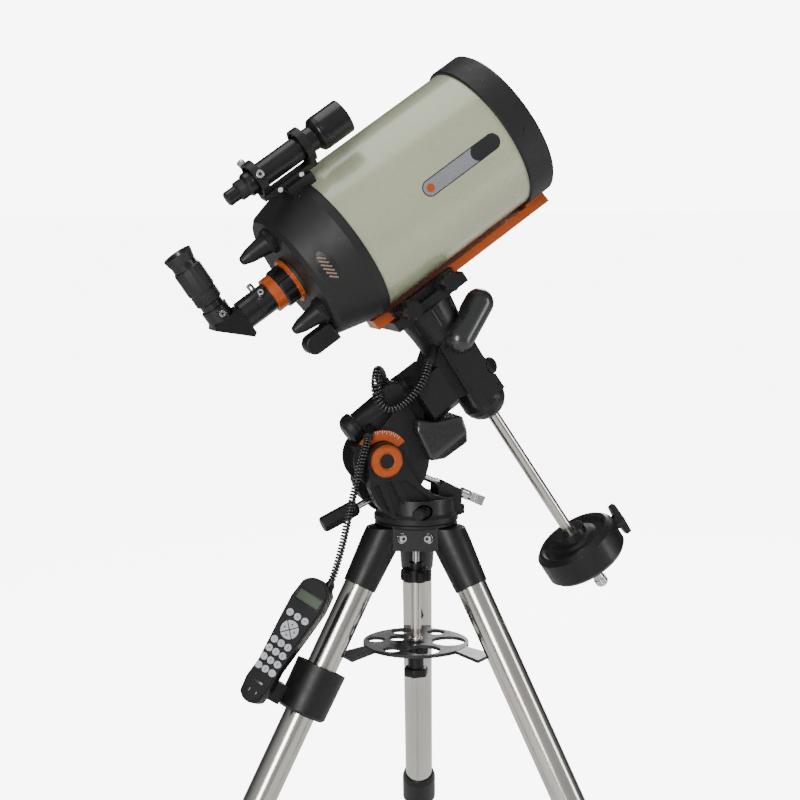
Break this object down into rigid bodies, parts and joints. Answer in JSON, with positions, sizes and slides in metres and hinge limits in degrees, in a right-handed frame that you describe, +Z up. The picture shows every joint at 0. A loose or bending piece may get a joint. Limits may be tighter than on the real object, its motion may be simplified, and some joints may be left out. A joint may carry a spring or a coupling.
{
  "type": "schmidt cassegrain telescope",
  "caption": "Folded-optics reflecting telescope on a motorised equatorial mount and folding steel tripod, with finder, star diagonal, counterweight and coiled-cord hand control",
  "frame": {"origin": "on the ground, under the middle of the whole object's bounding box", "axes": "+Z up; the polar axis lies in the plane Y = constant and points up towards +X; the polar axis's other end, the eyepiece and the finder's rear face -X; the hand control hangs on the leg towards -X and -Y"},
  "size_m": [0.8148, 0.7807, 1.387],
  "materials": {
    "tube_enamel": "satin pearl enamel, smooth, slightly metallic",
    "black_casting": "semi-gloss black powder coat over cast aluminium, fine texture",
    "black_plastic": "moulded black plastic, fine spark texture",
    "grey_plastic": "dark grey moulded cover, semi-gloss",
    "key_rubber": "light grey moulded rubber keys, matte",
    "orange_anodised": "burnt orange anodised aluminium, satin, fine brushed",
    "stainless": "brushed stainless steel, fine lengthwise grain",
    "bright_steel": "polished plated steel",
    "black_anodised": "black anodised aluminium, semi-gloss, turned",
    "lens_glass": "coated corrector glass, faint green cast",
    "silvered_mirror": "aluminised mirror",
    "cord_rubber": "black coiled cord jacket, semi-gloss"
  },
  "bodies": {
    "tripod": {"tripod_hub": "black_casting", "centre_rod": "stainless"},
    "head_knob": {"head_knob": "black_plastic"},
    "tray": {"accessory_tray": "black_casting"},
    "tray_knob": {"tray_knob": "black_plastic"},
    "leg_left": {"leg_castings_left": "black_plastic", "leg_tube_left": "stainless", "handset_holder": "black_plastic", "handset_cord": "cord_rubber"},
    "leg_extension_left": {"leg_inner_left": "stainless"},
    "leg_knob_left": {"leg_knob_left": "black_plastic"},
    "leg_right": {"leg_castings_right": "black_plastic", "leg_tube_right": "stainless"},
    "leg_extension_right": {"leg_inner_right": "stainless"},
    "leg_knob_right": {"leg_knob_right": "black_plastic"},
    "leg_rear": {"leg_castings_rear": "black_plastic", "leg_tube_rear": "stainless"},
    "leg_extension_rear": {"leg_inner_rear": "stainless"},
    "leg_knob_rear": {"leg_knob_rear": "black_plastic"},
    "handset": {"handset_case": "black_plastic"},
    "direction_keys": {"direction_keys": "key_rubber"},
    "number_keys": {"number_keys": "key_rubber"},
    "mount_base": {"azimuth_base": "black_casting"},
    "azimuth_knob_near": {"azimuth_knob_near": "black_plastic"},
    "azimuth_knob_far": {"azimuth_knob_far": "black_plastic"},
    "altitude_bolt_front": {"altitude_bolt_front": "bright_steel"},
    "altitude_bolt_rear": {"altitude_bolt_rear": "bright_steel"},
    "polar_cap": {"polar_cap": "black_plastic"},
    "ra_clutch_knob": {"ra_clutch_knob": "black_plastic"},
    "dec_clutch_knob": {"dec_clutch_knob": "black_plastic"},
    "cw_lock_knob": {"cw_lock_knob": "black_plastic"},
    "safety_nut": {"safety_nut": "bright_steel"},
    "saddle_jaw": {"saddle_jaw": "black_casting"},
    "saddle_knob_front": {"saddle_knob_front": "black_plastic"},
    "saddle_knob_rear": {"saddle_knob_rear": "black_plastic"},
    "primary_mirror": {"primary_mirror": "silvered_mirror"},
    "focus_knob": {"focus_knob": "black_plastic"},
    "mirror_lock_knob": {"mirror_lock_knob": "black_plastic"},
    "star_diagonal": {"star_diagonal": "black_anodised"},
    "eyepiece": {"eyepiece": "black_anodised"},
    "polar_axis": {"polar_housing": "black_casting", "altitude_caps": "orange_anodised", "ra_motor_cover": "grey_plastic"},
    "declination_housing": {"dec_housing": "black_casting", "dec_motor_cover": "grey_plastic", "dec_end_cap": "black_casting", "cw_shaft": "stainless", "dec_cord": "cord_rubber"},
    "counterweight": {"counterweight": "black_casting"},
    "saddle": {"saddle_head": "black_casting"},
    "optical_tube": {"dovetail_bar": "orange_anodised", "optical_tube": "tube_enamel", "front_ring": "black_casting", "corrector_plate": "lens_glass", "secondary_holder": "black_plastic", "rear_cell": "black_casting", "rear_handle": "black_plastic", "visual_back": "black_anodised"},
    "finder": {"finder_bracket": "black_casting", "finder_scope": "black_anodised"}
  },
  "joints": [
    {"name": "head_knob_turn", "type": "hinge", "parent": "tripod", "child": "head_knob", "pos_m": [0.04, -0.029, 0.695], "axis": [0, 0, 1], "range_deg": [0, 1080]},
    {"name": "leg_fold_left", "type": "hinge", "parent": "tripod", "child": "leg_left", "pos_m": [-0.0036, -0.03493, 0.675], "axis": [0.1349, -0.9909, 0], "range_deg": [0, 20], "deforming": ["handset_cord"]},
    {"name": "leg_extend_left", "type": "slide", "parent": "leg_left", "child": "leg_extension_left", "axis": [-0.4754, -0.0647, -0.8774], "range_m": [0, 0.3]},
    {"name": "leg_knob_turn_left", "type": "hinge", "parent": "leg_left", "child": "leg_knob_left", "pos_m": [-0.33221, -0.07966, 0.15134], "axis": [-0.8694, -0.1183, 0.4798], "range_deg": [0, 720]},
    {"name": "leg_fold_right", "type": "hinge", "parent": "tripod", "child": "leg_right", "pos_m": [0.06694, -0.06379, 0.675], "axis": [0.7907, 0.6122, 0], "range_deg": [0, 20]},
    {"name": "leg_extend_right", "type": "slide", "parent": "leg_right", "child": "leg_extension_right", "axis": [0.2937, -0.3793, -0.8774], "range_m": [0, 0.3]},
    {"name": "leg_knob_turn_right", "type": "hinge", "parent": "leg_right", "child": "leg_knob_right", "pos_m": [0.26998, -0.32602, 0.15134], "axis": [0.5372, -0.6937, 0.4798], "range_deg": [0, 720]},
    {"name": "leg_fold_rear", "type": "hinge", "parent": "tripod", "child": "leg_rear", "pos_m": [0.05666, 0.01172, 0.675], "axis": [-0.9255, 0.3786, 0], "range_deg": [0, 20]},
    {"name": "leg_extend_rear", "type": "slide", "parent": "leg_rear", "child": "leg_extension_rear", "axis": [0.1817, 0.444, -0.8774], "range_m": [0, 0.3]},
    {"name": "leg_knob_turn_rear", "type": "hinge", "parent": "leg_rear", "child": "leg_knob_rear", "pos_m": [0.18224, 0.31867, 0.15134], "axis": [0.3322, 0.8121, 0.4798], "range_deg": [0, 720]},
    {"name": "tray_drop", "type": "slide", "parent": "tripod", "child": "tray", "axis": [0, 0, -1], "range_m": [0, 0.5]},
    {"name": "tray_knob_turn", "type": "hinge", "parent": "tray", "child": "tray_knob", "pos_m": [0.04, -0.029, 0.501], "axis": [0, 0, 1], "range_deg": [0, 1080]},
    {"name": "handset_lift", "type": "slide", "parent": "leg_left", "child": "handset", "axis": [0.5561, -0.0143, 0.831], "range_m": [0, 0.06], "deforming": ["handset_cord"]},
    {"name": "direction_keys_press", "type": "slide", "parent": "handset", "child": "direction_keys", "axis": [0.5439, 0.7623, -0.3509], "range_m": [0, 0.0008], "stiffness_N_per_m": 500},
    {"name": "number_keys_press", "type": "slide", "parent": "handset", "child": "number_keys", "axis": [0.5439, 0.7623, -0.3509], "range_m": [0, 0.0008], "stiffness_N_per_m": 500},
    {"name": "azimuth", "type": "hinge", "parent": "tripod", "child": "mount_base", "pos_m": [0.04, -0.029, 0.695], "axis": [0, 0, 1], "range_deg": [-7, 7], "deforming": ["handset_cord"]},
    {"name": "azimuth_knob_near_travel", "type": "slide", "parent": "mount_base", "child": "azimuth_knob_near", "axis": [-0.7009, -0.7133, 0], "range_m": [-0.0045, 0.0045]},
    {"name": "azimuth_knob_far_travel", "type": "slide", "parent": "mount_base", "child": "azimuth_knob_far", "axis": [-0.7009, 0.7133, 0], "range_m": [-0.0045, 0.0045]},
    {"name": "altitude", "type": "hinge", "parent": "mount_base", "child": "polar_axis", "pos_m": [-0.025, -0.029, 0.794], "axis": [0, -1, 0], "range_deg": [-12, 30], "deforming": ["handset_cord"]},
    {"name": "altitude_bolt_front_turn", "type": "hinge", "parent": "mount_base", "child": "altitude_bolt_front", "pos_m": [0.112, -0.029, 0.7316], "axis": [0.9121, 0, -0.4099], "range_deg": [-180, 180]},
    {"name": "altitude_bolt_rear_turn", "type": "hinge", "parent": "mount_base", "child": "altitude_bolt_rear", "pos_m": [-0.055, -0.029, 0.7196], "axis": [-0.9121, 0, -0.4099], "range_deg": [-180, 180]},
    {"name": "polar_cap_turn", "type": "hinge", "parent": "polar_axis", "child": "polar_cap", "pos_m": [0.09745, -0.029, 0.94904], "axis": [0.8235, 0, 0.5673], "range_deg": [0, 720]},
    {"name": "ra_clutch_turn", "type": "hinge", "parent": "polar_axis", "child": "ra_clutch_knob", "pos_m": [-0.01601, -0.069, 0.89517], "axis": [0, -1, 0], "range_deg": [0, 120]},
    {"name": "ra_turn", "type": "hinge", "parent": "polar_axis", "child": "declination_housing", "pos_m": [0.09745, -0.029, 0.94904], "axis": [0.8235, 0, 0.5673], "range_deg": [-110, 110], "deforming": ["dec_cord"]},
    {"name": "dec_clutch_turn", "type": "hinge", "parent": "declination_housing", "child": "dec_clutch_knob", "pos_m": [0.12298, -0.029, 0.91198], "axis": [0.5294, -0.766, 0.3646], "range_deg": [0, 120]},
    {"name": "counterweight_slide", "type": "slide", "parent": "declination_housing", "child": "counterweight", "axis": [-0.5673, 0, 0.8235], "range_m": [-0.03, 0.2]},
    {"name": "cw_lock_turn", "type": "hinge", "parent": "counterweight", "child": "cw_lock_knob", "pos_m": [0.32152, -0.029, 0.62374], "axis": [0.8235, 0, 0.5673], "range_deg": [0, 720]},
    {"name": "safety_nut_turn", "type": "hinge", "parent": "declination_housing", "child": "safety_nut", "pos_m": [0.09745, -0.029, 0.94904], "axis": [-0.5673, 0, 0.8235], "range_deg": [0, 1080]},
    {"name": "declination", "type": "hinge", "parent": "declination_housing", "child": "saddle", "pos_m": [0.09745, -0.029, 0.94904], "axis": [-0.5673, 0, 0.8235], "continuous": true},
    {"name": "saddle_knob_front_turn", "type": "hinge", "parent": "saddle", "child": "saddle_knob_front", "pos_m": [0.06612, -0.079, 1.05799], "axis": [0, -1, 0], "range_deg": [0, 600]},
    {"name": "saddle_knob_rear_turn", "type": "hinge", "parent": "saddle", "child": "saddle_knob_rear", "pos_m": [0.00764, -0.079, 1.01772], "axis": [0, -1, 0], "range_deg": [0, 600]},
    {"name": "saddle_jaw_slide", "type": "slide", "parent": "saddle", "child": "saddle_jaw", "axis": [0, -1, 0], "range_m": [0, 0.0025]},
    {"name": "tube_slide", "type": "slide", "parent": "saddle", "child": "optical_tube", "axis": [0.8235, 0, 0.5673], "range_m": [-0.1, 0.015]},
    {"name": "focus_turn", "type": "hinge", "parent": "optical_tube", "child": "focus_knob", "pos_m": [-0.12141, -0.07405, 1.02086], "axis": [0.8235, 0, 0.5673], "range_deg": [-1800, 1800]},
    {"name": "mirror_travel", "type": "slide", "parent": "optical_tube", "child": "primary_mirror", "axis": [0.8235, 0, 0.5673], "range_m": [-0.0037, 0.0037]},
    {"name": "mirror_lock_turn", "type": "hinge", "parent": "optical_tube", "child": "mirror_lock_knob", "pos_m": [-0.18947, -0.04395, 1.11966], "axis": [0.8235, 0, 0.5673], "range_deg": [0, 720]},
    {"name": "diagonal_turn", "type": "hinge", "parent": "optical_tube", "child": "star_diagonal", "pos_m": [-0.25097, -0.029, 0.99476], "axis": [0.8235, 0, 0.5673], "continuous": true},
    {"name": "eyepiece_draw", "type": "slide", "parent": "star_diagonal", "child": "eyepiece", "axis": [-0.5673, 0, 0.8235], "range_m": [0, 0.03]},
    {"name": "finder_slide", "type": "slide", "parent": "optical_tube", "child": "finder", "axis": [-0.8235, 0, -0.5673], "range_m": [0, 0.04]}
  ],
  "couplings": [
    {"joint": "leg_fold_right", "follows": "leg_fold_left", "ratio": 1},
    {"joint": "leg_fold_rear", "follows": "leg_fold_left", "ratio": 1},
    {"joint": "tray_drop", "follows": "leg_fold_left", "m_per_rad": 1.4},
    {"joint": "azimuth_knob_near_travel", "follows": "azimuth", "m_per_rad": 0.03281},
    {"joint": "azimuth_knob_far_travel", "follows": "azimuth", "m_per_rad": -0.03281},
    {"joint": "saddle_knob_front_turn", "follows": "saddle_jaw_slide", "rad_per_m": 4188},
    {"joint": "saddle_knob_rear_turn", "follows": "saddle_jaw_slide", "rad_per_m": 4188},
    {"joint": "focus_turn", "follows": "mirror_travel", "rad_per_m": 8402}
  ]
}
